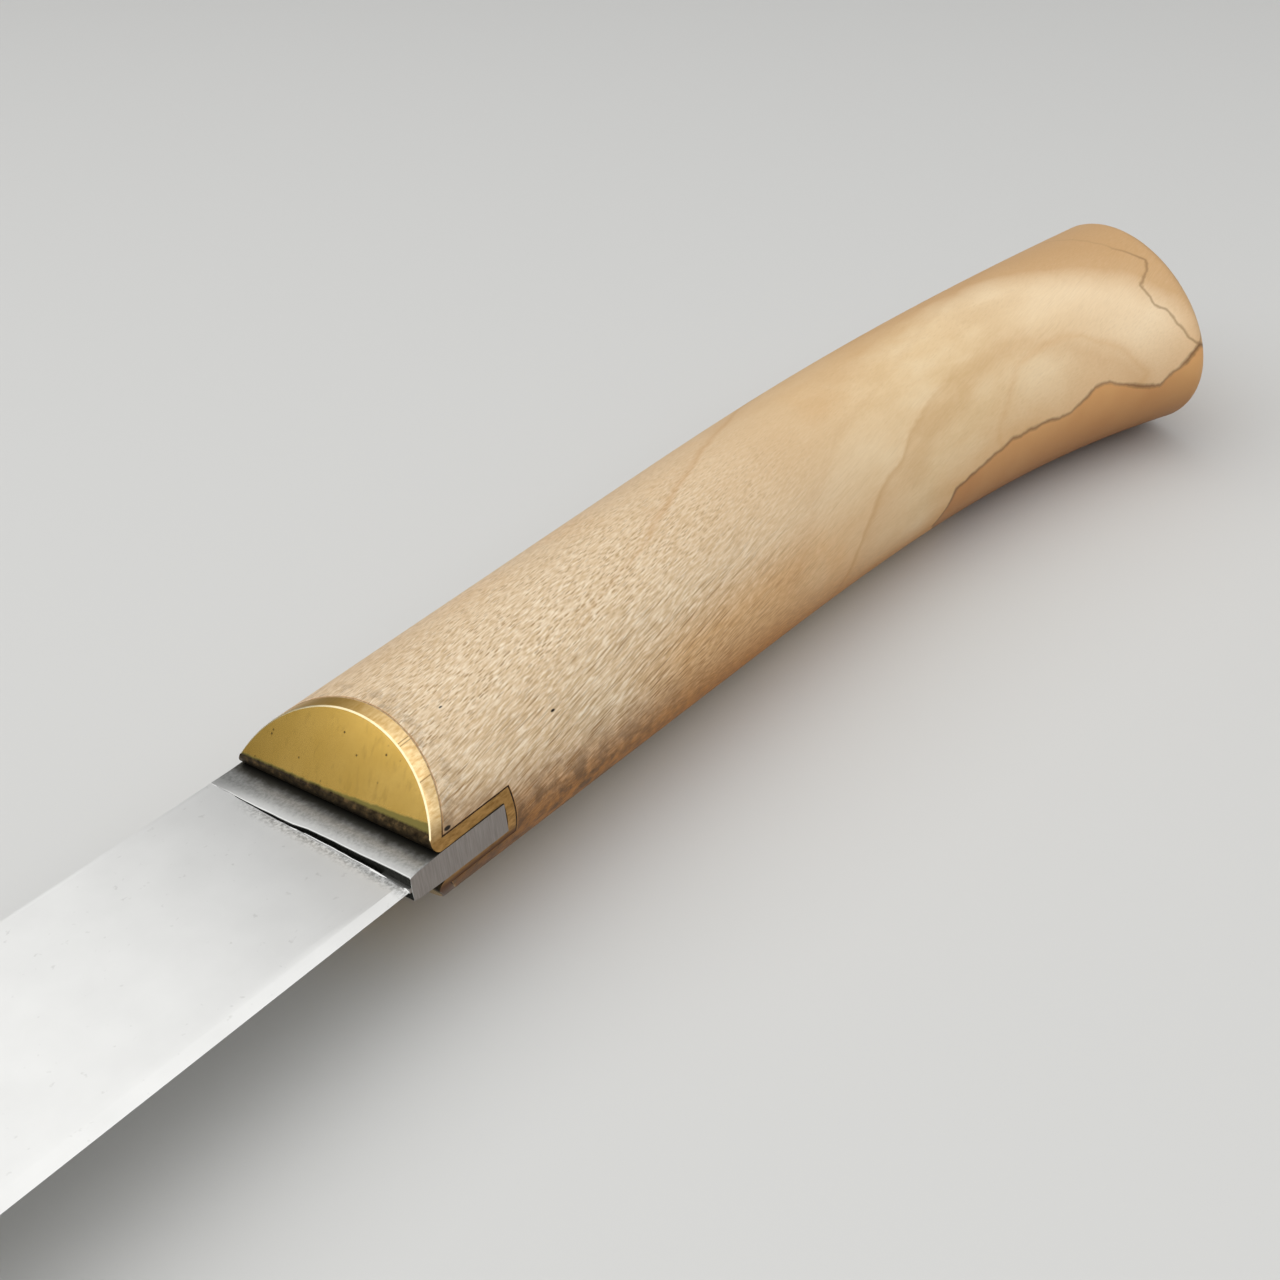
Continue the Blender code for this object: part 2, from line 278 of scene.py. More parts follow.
def feed(node, feeds):
    """Sets a node's inputs, by name or place, to a value, a hex colour, or another node's output."""
    for key, value in feeds.items():
        named = [socket for socket in node.inputs if socket.enabled and socket.name == key]
        socket = node.inputs[key] if isinstance(key, int) else named[0]
        if isinstance(value, bpy.types.Node):
            value = next(output for output in value.outputs if output.enabled)
        if isinstance(value, bpy.types.NodeSocket):
            node.id_data.links.new(value, socket)
        else:
            socket.default_value = linear(value) if isinstance(value, str) else value


def add_node(tree, kind, feeds, stops=(), **settings):
    """Adds a shader node with its settings and links. Stops are a colour ramp's places and hex colours."""
    node = tree.nodes.new("ShaderNode" + kind)
    for setting, value in settings.items():
        setattr(node, setting, value)
    for i, (place, colour) in enumerate(stops):
        steps = node.color_ramp.elements
        step = steps[i] if i < 2 else steps.new(place)
        step.position = place
        step.color = linear(colour)
    feed(node, feeds)
    return node


def start_material(name):
    """A Principled material, what adds its nodes, its shader, and its millimetres to lay patterns by."""
    material = bpy.data.materials.new(name)
    material.use_nodes = True
    add = partial(add_node, material.node_tree)
    own_place = add("TexCoord", {}).outputs["Object"]
    to_millimetres = {"Location": -fold_line / MILLIMETRE, "Scale": (1 / MILLIMETRE,) * 3}
    place = add("Mapping", {"Vector": own_place, **to_millimetres})
    return material, add, material.node_tree.nodes["Principled BSDF"], place


# Carbon steel, ground and then sanded lengthwise: an even satin that blurs what it mirrors, with a few
# faint spots, greyer and roughened where the file worked into the corner of the plunge.
satin_steel, add, shader, place = start_material("carbon steel, ground and sanded to satin")
cloud = add("TexNoise", {"Vector": place, "Scale": 1 / 5, "Detail": 3})
lengthwise = add("Mapping", {"Vector": place, "Scale": (1 / 16, 1 / 0.25, 1 / 0.25)})
lines = add("TexNoise", {"Vector": lengthwise, "Scale": 1, "Detail": 2})
grit = add("TexNoise", {"Vector": place, "Scale": 1 / 0.3, "Detail": 2, "Roughness": 0.6})
to_butt, to_spine, _ = add("SeparateXYZ", {"Vector": place}).outputs
near_plunge = add("MapRange", {
    "Value": to_butt, "From Min": PLUNGE_X - 1.5, "From Max": PLUNGE_X - 0.2
}, interpolation_type="SMOOTHSTEP")
before_lip = add("MapRange", {"Value": to_butt, "From Min": PLUNGE_X - 0.13, "From Max": PLUNGE_X - 0.17})
below_spine = add("MapRange", {"Value": to_spine, "From Min": 9, "From Max": 5})
scuffed = add("Math", {0: near_plunge, 1: before_lip}, operation="MULTIPLY")
filed = add("Math", {0: scuffed, 1: below_spine}, operation="MULTIPLY")
scuffs = add("MapRange", {"Value": grit, "From Min": 0.38, "From Max": 0.68, "To Max": 0.85})
fuzz = add("Math", {0: scuffs, 1: filed}, operation="MULTIPLY")
spots = add("TexNoise", {"Vector": place, "Scale": 1 / 0.8, "Detail": 2})
spotted = add("MapRange", {"Value": spots, "From Min": 0.69, "From Max": 0.77, "To Max": 0.3})
satin = add("ValToRGB", {"Fac": cloud}, ((0.3, "#d5d5d3"), (0.7, "#dadad8")))
for share, coat in ((spotted, "#a9a8a4"), (fuzz, "#7c7b77")):
    satin = add("Mix", {"Factor": share, "A": satin, "B": coat}, data_type="RGBA")
relief = add("Math", {0: grit, 1: filed, 2: lines}, operation="MULTIPLY_ADD")
feed(shader, {
    "Metallic": 1,
    "Base Color": satin,
    "Roughness": add("MapRange", {"Value": filed, "To Min": 0.28, "To Max": 0.42}),
    "Normal": add("Bump", {"Strength": 0.4, "Distance": 0.02 * MILLIMETRE, "Height": relief}),
})

# The same steel filed and smoked: grey with a fine mottle, and black smudges of flux next to the brass,
# which also stand for painted shade and dark reflection of the flange. It is painted lighter towards the
# plunge as a painted highlight where the ricasso rolls off.
filed_steel, add, shader, place = start_material("carbon steel, filed, with soldering smoke and painted shade")
mottle = add("TexNoise", {"Vector": place, "Scale": 1 / 0.35, "Detail": 4, "Roughness": 0.6})
smudge = add("TexNoise", {"Vector": place, "Scale": 1 / 0.9, "Detail": 4, "Roughness": 0.6})
to_butt = add("SeparateXYZ", {"Vector": place}).outputs["X"]
# Painted shade: the dark cloud next to the brass is partly flux smoke, partly painted shade and dark
# reflection of the flange; smoke below carries it on.
smoke_and_shade_edge = add("Math", {0: smudge, 1: 1.5, 2: to_butt}, operation="MULTIPLY_ADD")
smoke_and_shade_cloud = add("MapRange", {
    "Value": smoke_and_shade_edge, "From Min": -1.5, "From Max": 0.1
}, interpolation_type="SMOOTHSTEP")
speckle = add("Math", {0: to_butt, 1: 0.05, 2: mottle}, operation="MULTIPLY_ADD")
soot = add("MapRange", {"Value": speckle, "From Min": 0.55, "From Max": 0.62, "To Max": 0.6})
smoke = add("Math", {0: smoke_and_shade_cloud, 1: soot}, operation="MAXIMUM")
dull = add("ValToRGB", {"Fac": mottle}, ((0.3, "#858583"), (0.65, "#a3a3a0")))
# Painted highlight: the flat is painted lighter towards the plunge, where it rolls off.
brightened = add("MapRange", {
    "Value": to_butt, "From Min": -2.4, "From Max": PLUNGE_X
}, interpolation_type="SMOOTHSTEP")
bare = add("Mix", {"Factor": brightened, "A": dull, "B": "#b9b9b7"}, data_type="RGBA")
feed(shader, {
    "Metallic": 1,
    "Base Color": add("Mix", {"Factor": smoke, "A": bare, "B": "#494741"}, data_type="RGBA"),
    "Roughness": add("MapRange", {"Value": smoke, "To Min": 0.3, "To Max": 0.5}),
    "Normal": add("Bump", {"Strength": 0.3, "Distance": 0.015 * MILLIMETRE, "Height": mottle}),
})

# The bar's narrow sides, drawn over a file across the bar: dull warm grey with fine cross scratches.
drawn_steel, add, shader, place = start_material("carbon steel, cross filed")
crosswise = add("Mapping", {"Vector": place, "Scale": (1 / 0.16, 1 / 3, 1 / 2.5)})
scratches = add("TexNoise", {"Vector": crosswise, "Scale": 1, "Detail": 3, "Roughness": 0.6})
feed(shader, {
    "Metallic": 1,
    "Base Color": add("ValToRGB", {"Fac": scratches}, ((0.3, "#8f8883"), (0.7, "#a59e99"))),
    "Roughness": add("MapRange", {"Value": scratches, "To Min": 0.42, "To Max": 0.58}),
    "Normal": add("Bump", {"Strength": 0.3, "Distance": 0.015 * MILLIMETRE, "Height": scratches}),
})

# The step in front of the ricasso keeps the black scale that the file didn't reach; its near black is also
# painted shade in the recess of the step.
scaled_and_shaded_steel, add, shader, place = start_material("carbon steel with black scale and painted shade")
flecks = add("TexNoise", {"Vector": place, "Scale": 1 / 0.3, "Detail": 4})
feed(shader, {
    "Metallic": 1,
    "Base Color": add("ValToRGB", {"Fac": flecks}, ((0.35, "#1c1d1a"), (0.8, "#454641"))),
    "Roughness": 0.55,
})

blade_steels = (satin_steel, filed_steel, drawn_steel, scaled_and_shaded_steel)
blade = settle(blade_shape, "ground_blade", blade_steels, BLADE_SOFT_CORNER)
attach(blade, "root")
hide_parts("blade")

# Bolster cheeks. Two pieces of brass sheet, each folded round the front of the stub: a liner soldered flat
# to the steel, and a half-moon flange leaning back over the front of the wood. Their outsides are filed
# flush with the handle's oval, which leaves the cut edge of the sheet showing as a bright rim.
HANDLE_LENGTH = 126.2
FLUSH_STEP = 0.12  # brass and wood stand this far past the steel
FRONT_HEIGHT = BLADE_HEIGHT + 2 * FLUSH_STEP
FRONT_THICKNESS = 17.3
WAIST_DEPTH = 0.65
BUTT_HEIGHT = 34.27
BUTT_THICKNESS = 23.1
BEND_LENGTH = 76.2
BEND_POWER = 2.56
BUTT_DROP = 8.7
BUTT_TURN = math.radians(30.7)
FLARE_LENGTH = 52.5
FLARE_POWER = 3.0
OVAL_POINTS = 192
SHEET_THICKNESS = 1.12
LINER_THICKNESS = 0.92  # the liner is drawn down a little thinner than the flange
SOLDER_LINE = 0.006
JOINT_GAP = 0.1  # a dark joint shows behind the steel
FOLD_RADIUS = 0.85
FOLD_BACK = 0.35
FOLD_POINTS = 14
FLANGE_LEAN = math.radians(35.0)
RIM_BREAK = 0.11
PRISM_REACH = 20.0
BLANK_REACH = 6.0  # how far the handle's blank runs on forward
LINER_INSIDE = BLADE_THICKNESS / 2 + SOLDER_LINE
LINER_OUTSIDE = LINER_INSIDE + LINER_THICKNESS
LINER_END = STUB_LENGTH + JOINT_GAP
fold_centre = Vector((FOLD_BACK, LINER_INSIDE + FOLD_RADIUS))
flange_out = Vector((-math.cos(FLANGE_LEAN), math.sin(FLANGE_LEAN)))
flange_up = Vector((math.sin(FLANGE_LEAN), math.cos(FLANGE_LEAN)))
flange_reach = flange_up * (FRONT_THICKNESS / math.cos(FLANGE_LEAN))
flange_inner = fold_centre + (FOLD_RADIUS - SHEET_THICKNESS) * flange_out


def handle_ring(x, inset=0.0, beyond=0.0):
    """The handle's oval at x, pulled in by inset and moved beyond along its own turned axis."""
    share = clamp(x / HANDLE_LENGTH)
    bend = max(0, x - (HANDLE_LENGTH - BEND_LENGTH)) / BEND_LENGTH
    flare = max(0, x - (HANDLE_LENGTH - FLARE_LENGTH)) / FLARE_LENGTH
    turn = -BUTT_TURN * bend ** (BEND_POWER - 1)
    axis = Vector((math.cos(turn), math.sin(turn), 0))
    up = Vector((-math.sin(turn), math.cos(turn), 0))
    waist = WAIST_DEPTH * math.sin(math.pi * share)
    half_height = FRONT_HEIGHT / 2 - waist + (BUTT_HEIGHT - FRONT_HEIGHT) / 2 * flare**FLARE_POWER
    half_thickness = (BUTT_THICKNESS + (FRONT_THICKNESS - BUTT_THICKNESS) * (1 - share) ** 2) / 2
    centre = Vector((x, -BUTT_DROP * bend**BEND_POWER, 0)) + axis * beyond
    ring = []
    for i in range(OVAL_POINTS):
        angle = 2 * math.pi * i / OVAL_POINTS
        across = Vector((0, 0, (half_thickness - inset) * math.sin(angle)))
        ring.append(centre + up * ((half_height - inset) * math.cos(angle)) + across)
    return ring


def front_blank(inset=0.0):
    """The first stretch of the handle's outside, run on forward past the brass."""
    return loft([handle_ring(x, inset) for x in (-BLANK_REACH, 0, 2, 4, 6, 8, 10, 14)])


def prism(outline):
    """An outline of x and z points, drawn out along Y through the whole knife."""
    return loft([[Vector((x, y, z)) for x, z in outline] for y in (-PRISM_REACH, PRISM_REACH)])


def block(low, high):
    """A box from its lowest corner to its highest."""
    low, high = Vector(low), Vector(high)
    solid = bmesh.new()
    place = Matrix.Translation((low + high) / 2) @ Matrix.Diagonal((high - low).to_4d())
    bmesh.ops.create_cube(solid, size=1, matrix=place)
    return solid


def combine(shape, operation, other):
    """What an exact Boolean makes of two shapes, as a new shape."""
    holders = []
    for solid in (shape, other):
        mesh = bpy.data.meshes.new("blank")
        solid.to_mesh(mesh)
        solid.free()
        holders.append(bpy.data.objects.new("blank", mesh))
        bpy.context.scene.collection.objects.link(holders[-1])
    boolean = holders[0].modifiers.new("cut", "BOOLEAN")
    boolean.operation = operation
    boolean.object = holders[1]
    made = bmesh.new()
    made.from_object(holders[0], bpy.context.evaluated_depsgraph_get())
    for holder in holders:
        mesh = holder.data
        bpy.data.objects.remove(holder)
        bpy.data.meshes.remove(mesh)
    return made


def cheek_outline(side):
    """One cheek's section: liner along the stub, round fold, and flange leaning back. Side is 1 or -1."""
    points = [Vector((LINER_END, LINER_INSIDE))]
    for i in range(FOLD_POINTS + 1):
        turned = -math.pi / 2 - (math.pi / 2 + FLANGE_LEAN) * i / FOLD_POINTS
        points.append(fold_centre + FOLD_RADIUS * Vector((math.cos(turned), math.sin(turned))))
    points.append(points[-1] + flange_reach)
    points.append(flange_inner + flange_reach)
    points.append(flange_inner + flange_up * ((LINER_OUTSIDE - flange_inner.y) / flange_up.y))
    points.append(Vector((LINER_END, LINER_OUTSIDE)))
    return [(p.x, side * p.y) for p in points]


# Rolled brass, polished by hand: a warm yellow mirror, blurred, with small pits, smears and hairlines,
# deeper in colour towards the spine. The fold keeps a dark crust of flux by the steel, olive at its end,
# whose darkness is also painted shade and dark reflection in the fold.
rolled_brass, add, shader, place = start_material("brass sheet, rolled and hand polished")
cloud = add("TexNoise", {"Vector": place, "Scale": 1 / 4, "Detail": 3})
brass_colour = add("ValToRGB", {"Fac": cloud}, ((0.3, "#dbb35a"), (0.7, "#e7c069")))
pits = add("TexVoronoi", {"Vector": place, "Scale": 1 / 1.3})
pitted = add("MapRange", {"Value": pits, "From Min": 0.11, "From Max": 0.05})
rubbing = add("Mapping", {
    "Vector": place, "Rotation": (0, 0.6, 0.3), "Scale": (1 / 0.12, 1 / 5, 1 / 0.12)
})
hairlines = add("TexNoise", {"Vector": rubbing, "Scale": 1, "Detail": 3})
_, to_spine, to_left = add("SeparateXYZ", {"Vector": place}).outputs
height = add("Math", {0: to_left}, operation="ABSOLUTE")
crust_and_shade_noise = add("TexNoise", {"Vector": place, "Scale": 1 / 0.7, "Detail": 5, "Roughness": 0.65})
above_steel = add("Math", {0: height, 1: LINER_INSIDE}, operation="SUBTRACT")
crust_and_shade_top = add("MapRange", {
    "Value": to_spine, "From Min": -12, "From Max": 12, "To Min": 1.75, "To Max": 1.35
})
stain_width = add("MapRange", {
    "Value": to_spine, "From Min": -12, "From Max": 1, "To Min": 0.6, "To Max": 0.1
})
ragged = add("Math", {0: crust_and_shade_noise, 1: 0.3, 2: above_steel}, operation="MULTIPLY_ADD")
over_crust_and_shade = add("Math", {0: ragged, 1: crust_and_shade_top}, operation="SUBTRACT")
over_stain = add("Math", {0: over_crust_and_shade, 1: stain_width}, operation="SUBTRACT")
# Painted shade: the crust is partly flux and partly painted shade and dark reflection in the fold.
crust_and_shade = add("MapRange", {"Value": over_crust_and_shade, "From Min": 0.24, "From Max": 0.06})
stained = add("MapRange", {"Value": over_stain, "From Min": 0.24, "From Max": 0.08, "To Max": 0.9})
crust_and_shade_tones = ((0.35, "#2b2218"), (0.55, "#51442f"), (0.7, "#7a6242"))
crust_and_shade_colour = add("ValToRGB", {"Fac": crust_and_shade_noise}, crust_and_shade_tones)
wiping = add("Mapping", {"Vector": place, "Scale": (1 / 1.2, 1 / 0.5, 1 / 1.2)})
smears = add("TexNoise", {"Vector": wiping, "Scale": 1, "Detail": 4})
smeared = add("MapRange", {"Value": smears, "From Min": 0.55, "From Max": 0.72, "To Max": 0.22})
spine_side = add("MapRange", {"Value": to_spine, "From Min": -8, "From Max": 8, "To Max": 0.45})
for share, coat in (
    (spine_side, "#b8933f"), (smeared, "#97783a"), (pitted, "#6d5423"), (stained, "#7f7944"),
    (crust_and_shade, crust_and_shade_colour),
):
    brass_colour = add("Mix", {"Factor": share, "A": brass_colour, "B": coat}, data_type="RGBA")
relief = add("Math", {0: hairlines, 1: pitted}, operation="SUBTRACT")
feed(shader, {
    "Metallic": 1,
    "Base Color": brass_colour,
    "Roughness": add("MapRange", {"Value": stained, "To Min": 0.24, "To Max": 0.45}),
    "Normal": add("Bump", {"Strength": 0.1, "Distance": 0.012 * MILLIMETRE, "Height": relief}),
})

# The cut edge of the sheet, filed and rubbed with the handle: bright, golden towards the spine, with a few
# scratches across it, tarnished where it frames the steel, and darkened with painted shade at its edge end
# on the side that lies underneath.
SCRATCHES = (-5.6, -5.9, -9.1, 3.4)  # how far towards the spine each one is


def underside_shade_share(add, place):
    """How much painted shade darkens the brass there: the edge end of the right cheek's underside."""
    _, to_spine, to_left = add("SeparateXYZ", {"Vector": place}).outputs
    underneath = add("MapRange", {"Value": to_left, "From Min": -1.4, "From Max": -2.2})
    edge_end = add("MapRange", {"Value": to_spine, "From Min": -7, "From Max": -10})
    return add("Math", {0: underneath, 1: edge_end}, operation="MULTIPLY")


cut_brass, add, shader, place = start_material("brass sheet edge, filed flush")
filing = add("Mapping", {"Vector": place, "Scale": (1 / 0.9, 1 / 0.3, 1 / 0.3)})
marks = add("TexNoise", {"Vector": filing, "Scale": 1, "Detail": 4, "Roughness": 0.6})
bright = add("ValToRGB", {"Fac": marks}, ((0.3, "#d6ad6d"), (0.65, "#f8dca8")))
_, to_spine, to_left = add("SeparateXYZ", {"Vector": place}).outputs
for along_rim in SCRATCHES:
    away = add("Math", {0: to_spine, 1: along_rim}, operation="SUBTRACT")
    gap = add("Math", {0: away}, operation="ABSOLUTE")
    scratch = add("MapRange", {"Value": gap, "From Min": 0.07, "From Max": 0.02, "To Max": 0.7})
    bright = add("Mix", {"Factor": scratch, "A": bright, "B": "#7a5a30"}, data_type="RGBA")
spine_end = add("MapRange", {"Value": to_spine, "From Min": -5, "From Max": 3, "To Max": 0.85})
dull = add("ValToRGB", {"Fac": marks}, ((0.3, "#987240"), (0.7, "#c89d60")))
height = add("Math", {0: to_left}, operation="ABSOLUTE")
tarnish = add("MapRange", {"Value": height, "From Min": LINER_OUTSIDE + 1.2, "From Max": LINER_OUTSIDE})
# Painted shade: the last coat darkens the edge end of the right cheek's underside.
coats = ((spine_end, "#d2a444"), (tarnish, dull), (underside_shade_share(add, place), "#6b4526"))
for share, coat in coats:
    bright = add("Mix", {"Factor": share, "A": bright, "B": coat}, data_type="RGBA")
feed(shader, {
    "Metallic": 1,
    "Base Color": bright,
    "Roughness": add("MapRange", {"Value": tarnish, "To Min": 0.33, "To Max": 0.48}),
    "Normal": add("Bump", {"Strength": 0.25, "Distance": 0.012 * MILLIMETRE, "Height": marks}),
})

# The corner between them, rubbed bright by cloth and hand, and darkened with the same painted shade as the
# edge.
burnished_brass, add, shader, place = start_material("brass corner, burnished")
wear = add("TexNoise", {"Vector": place, "Scale": 1 / 0.8, "Detail": 3})
brightened = add("ValToRGB", {"Fac": wear}, ((0.3, "#f0dcaa"), (0.7, "#f8ebc8")))
# Painted shade, the same as on the edge.
underside_shade = underside_shade_share(add, place)
feed(shader, {
    "Metallic": 1,
    "Base Color": add("Mix", {"Factor": underside_shade, "A": brightened, "B": "#6b4526"}, data_type="RGBA"),
    "Roughness": 0.3,
})

SHEET_FACE, CUT_EDGE, RUBBED = range(3)
for side, name, node in (
    (1, "left_brass_cheek", "left_bolster_cheek"),
    (-1, "right_brass_cheek", "right_bolster_cheek"),
):
    cheek_shape = combine(prism(cheek_outline(side)), "INTERSECT", front_blank())
    bmesh.ops.dissolve_degenerate(cheek_shape, dist=0.03, edges=cheek_shape.edges)
    bmesh.ops.recalc_face_normals(cheek_shape, faces=cheek_shape.faces)
    for face in cheek_shape.faces:
        on_rim = abs(face.normal.y) > 0.02
        on_crest = face.normal.z * side > 0.9 and face.calc_center_median().z * side > LINER_OUTSIDE + 1
        face.material_index = CUT_EDGE if on_rim or on_crest else SHEET_FACE
    flange_normal = Vector((flange_out.x, 0, flange_out.y * side))
    rim_edges = []
    for edge in cheek_shape.edges:
        turned = [face.normal.dot(flange_normal) > 0.999 for face in edge.link_faces]
        cut = [face.material_index == CUT_EDGE for face in edge.link_faces]
        if any(turned) and any(cut):
            rim_edges.append(edge)
    rounding = {"segments": 3, "profile": 0.5, "affect": "EDGES", "clamp_overlap": False}
    bmesh.ops.bevel(cheek_shape, geom=rim_edges, offset=RIM_BREAK, material=RUBBED, **rounding)
    cheek = settle(cheek_shape, name, (rolled_brass, cut_brass, burnished_brass))
    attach(cheek, "root")
    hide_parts(node)

# Rear plate. A strip of the same sheet set across the back of the stub, with a hole that the stick tang
# passes through. It closes the brass frame round the steel on the knife's two narrow sides.
PLATE_FRONT = LINER_END + SOLDER_LINE
PLATE_BACK = STUB_LENGTH + SHEET_THICKNESS
TANG_CLEARANCE = 0.1
CUT_PAST = 1.0  # how far a cutter runs past what it cuts


def tang_hole(back):
    """What cuts the hole for the stick tang, from in front of the rear plate to behind a back face."""
    up = TANG_HEIGHT / 2 + TANG_CLEARANCE
    out = TANG_THICKNESS / 2 + TANG_CLEARANCE
    return block((PLATE_FRONT - CUT_PAST, -up, -out), (back + CUT_PAST, up, out))


plate_blank = block((PLATE_FRONT, -PRISM_REACH, -LINER_OUTSIDE), (PLATE_BACK, PRISM_REACH, LINER_OUTSIDE))
plate_shape = combine(plate_blank, "INTERSECT", front_blank())
plate_shape = combine(plate_shape, "DIFFERENCE", tang_hole(PLATE_BACK))
bmesh.ops.recalc_face_normals(plate_shape, faces=plate_shape.faces)
rear_plate = settle(plate_shape, "brass_rear_plate", (cut_brass,))
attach(rear_plate, "root")
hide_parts("rear_tang_plate")

# Glue film. Dark epoxy squeezed out thin between the brass and the wood. It shows as a fine dark outline
# round the frame and behind the rim.
GLUE_LINE = 0.13
REAR_GLUE_LINE = 0.18
GLUE_INSET = 0.03
wood_inner = fold_centre + (FOLD_RADIUS - SHEET_THICKNESS - GLUE_LINE) * flange_out
WOOD_SLOT = LINER_OUTSIDE + GLUE_LINE
WOOD_STOP = PLATE_BACK + REAR_GLUE_LINE


def back_of_brass(inner, slot, stop):
    """Half the line behind the brass, from the middle of the rear plate out to beyond the flange."""
    corner = inner + flange_up * ((slot - inner.y) / flange_up.y)
    return [Vector((stop, slot)), corner, inner + flange_reach]


def both_sides(half):
    """The same line for both cheeks, from the right flange round to the left one."""
    return [(p.x, -p.y) for p in reversed(half)] + [(p.x, p.y) for p in half]


brass_line = both_sides(back_of_brass(flange_inner, LINER_OUTSIDE, PLATE_BACK))
wood_line = both_sides(back_of_brass(wood_inner, WOOD_SLOT, WOOD_STOP))
film_shape = combine(prism(brass_line + wood_line[::-1]), "INTERSECT", front_blank(GLUE_INSET))
film_shape = combine(film_shape, "DIFFERENCE", tang_hole(WOOD_STOP))
bmesh.ops.recalc_face_normals(film_shape, faces=film_shape.faces)

# Cured epoxy with brass filings and wood dust in it: nearly black round the frame, where it is thick, and
# tan behind the rim, where it is squeezed thin.
dark_epoxy, add, shader, place = start_material("epoxy, cured, with filing dust")
specks = add("TexNoise", {"Vector": place, "Scale": 1 / 0.3, "Detail": 4})
to_left = add("SeparateXYZ", {"Vector": place}).outputs["Z"]
height = add("Math", {0: to_left}, operation="ABSOLUTE")
squeezed_thin = add("MapRange", {
    "Value": height, "From Min": WOOD_SLOT + 0.3, "From Max": WOOD_SLOT + 1.3
})
thick = add("ValToRGB", {"Fac": specks}, ((0.35, "#21170e"), (0.75, "#5b4026")))
thin = add("ValToRGB", {"Fac": specks}, ((0.35, "#a58660"), (0.75, "#d6bb92")))
feed(shader, {
    "Base Color": add("Mix", {"Factor": squeezed_thin, "A": thick, "B": thin}, data_type="RGBA"),
    "Roughness": 0.5,
    "IOR": 1.55,
    "Specular IOR Level": 0.15,
})
glue_film = settle(film_shape, "glue_film", (dark_epoxy,))
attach(glue_film, "root")

# Handle. One block of pale spalted hardwood, shaped to an oval that bends and flares to the butt, sanded
# and oiled. Its front is sawn to a nose that backs the leaning flanges, and slotted for the brass frame.
BUTT_ROUNDING = 1.88
HANDLE_RINGS = 170
ROUNDING_RINGS = 9
END_RINGS = 9
END_CORE = 1.0  # half the thickness of the last face on the butt
BORE_HEIGHT = 14.0
BORE_THICKNESS = 6.4
BORE_END = 74.65
rings = [handle_ring(-BLANK_REACH)]
stations = [0]
for i in range(HANDLE_RINGS + 1):
    stations.append(HANDLE_LENGTH * i / HANDLE_RINGS)
    rings.append(handle_ring(stations[-1]))
for i in range(1, ROUNDING_RINGS + 1):
    round_off = math.pi / 2 * i / ROUNDING_RINGS
    inset = BUTT_ROUNDING * (1 - math.cos(round_off))
    stations.append(HANDLE_LENGTH + BUTT_ROUNDING * round_off)
    rings.append(handle_ring(HANDLE_LENGTH, inset, BUTT_ROUNDING * math.sin(round_off)))
for i in range(1, END_RINGS + 1):
    inset = BUTT_ROUNDING + (BUTT_THICKNESS / 2 - END_CORE - BUTT_ROUNDING) * i / END_RINGS
    stations.append(HANDLE_LENGTH + inset)
    rings.append(handle_ring(HANDLE_LENGTH, inset, BUTT_ROUNDING))
handle_shape = loft(rings)

# Outlines on the wood as a distance along the handle and an angle round it from the spine, in degrees.
# The fungus that spalted the wood walled off a brown patch under the butt, and a sliver at its rim. Growth
# rings come to the surface as one oval inside another, and ahead of them as long slanting lines.
BROWN_PATCH = [
    (80.3, 214), (82.7, 190), (89.8, 183), (93.4, 179.6), (98.1, 179.3), (104.2, 181.4), (109.1, 172.1),
    (110.5, 171.5), (116.1, 180), (120.3, 186), (122, 180), (124.5, 175), (127, 167), (131, 172),
    (134, 195), (135, 225), (131, 252), (126, 264), (112, 268), (100, 258), (90, 243), (83, 228),
]
RIM_PATCH = [
    (124, 6), (118.5, 22), (117, 40), (120, 72), (122.7, 99), (125.1, 115), (124, 120.5), (121.6, 127.7),
    (122.1, 135.2), (122.1, 140.6), (123.5, 144), (124.1, 151.7), (125.5, 161.3), (127, 167), (130, 150),
    (131, 120), (131, 80), (131, 40), (129, 16),
]
OUTER_RING = [
    (60, 220), (60.9, 201.6), (62.5, 186.5), (66.8, 165.8), (71.6, 157.4), (76, 146), (81, 138.5),
    (86.2, 131.3), (91, 125), (96, 121.5), (101, 122.3), (105.3, 132.5), (108.7, 141.5), (114.3, 154),
    (119, 175), (118, 215), (100, 240), (75, 240),
]
INNER_RING = [
    (91.2, 169.7), (92.6, 163.4), (94.5, 154.7), (97.6, 143.9), (103.3, 138.8), (109.4, 142.4),
    (114, 156.8), (117.8, 174.5), (114, 195), (100, 205), (92, 188),
]
SLANTING_LINE = [
    (100, 0), (78, 40), (55.2, 82), (45.8, 98.3), (39.9, 108.8), (31.4, 117.2), (27, 121.1), (22, 131),
    (17, 142), (8, 180), (50, 270), (100, 360),
]
GIRTH_PER_DEGREE = 0.23  # about, where the patches are
RINGS_START = 40.0  # no patch or ring reaches further forward
FAR_OUTSIDE = -20.0


def depth_inside(point, outline):
    """How far a point lies inside a closed outline, in millimetres, or below nothing outside it."""
    nearest = math.inf
    inside = False
    for i, end in enumerate(outline):
        start = outline[i - 1]
        run = end - start
        share = clamp((point - start).dot(run) / run.length_squared)
        nearest = min(nearest, (start + run * share - point).length)
        if (start.y > point.y) != (end.y > point.y):
            if point.x < start.x + run.x * (point.y - start.y) / run.y:
                inside = not inside
    return nearest if inside else -nearest


def along_line(angle, line):
    """How far along the handle a line lies at an angle round it."""
    for start, end in zip(line, line[1:]):
        if angle <= end[1]:
            return start[0] + (end[0] - start[0]) * (angle - start[1]) / (end[1] - start[1])


def ragged_depth(add, noise, sway, name):
    """A distance mapped on the wood, made ragged by so many millimetres of a noise."""
    mapped = add("Attribute", {}, attribute_name=name).outputs["Fac"]
    return add("Math", {0: noise, 1: sway, 2: mapped}, operation="MULTIPLY_ADD")


